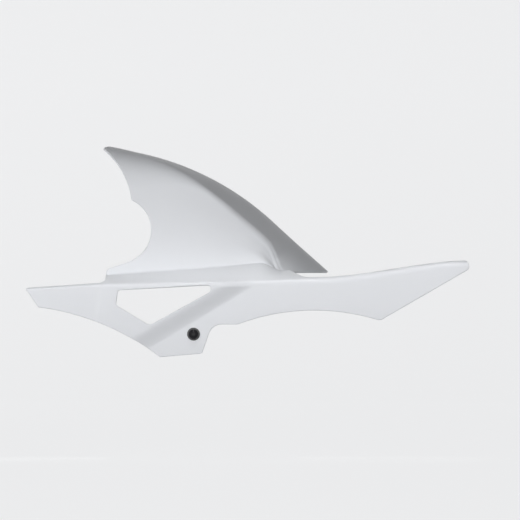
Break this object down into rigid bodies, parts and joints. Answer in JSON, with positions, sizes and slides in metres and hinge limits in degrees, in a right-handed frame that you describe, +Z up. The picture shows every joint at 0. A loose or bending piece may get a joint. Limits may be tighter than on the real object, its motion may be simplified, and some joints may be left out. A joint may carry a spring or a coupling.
{
  "type": "motorcycle rear hugger mudguard",
  "caption": "White rear hugger that arches over the tyre, with a side rail that guards the drive belt and a window in the rail.",
  "frame": {"origin": "rear screw's axis, on the rail's inner face where it seats on the swingarm", "axes": "+X to the motorcycle's front, +Y inboard along the screw to the wheel's middle plane, +Z up"},
  "size_m": [0.548, 0.2459, 0.2651],
  "materials": {
    "white_shell": "gloss white paint under clear coat",
    "black_screw": "black coated steel, semi-gloss",
    "black_washer": "black nylon"
  },
  "bodies": {
    "root": {"mudguard_shell": "white_shell", "mounting_screws": "black_screw", "screw_washers": "black_washer"}
  },
  "joints": []
}
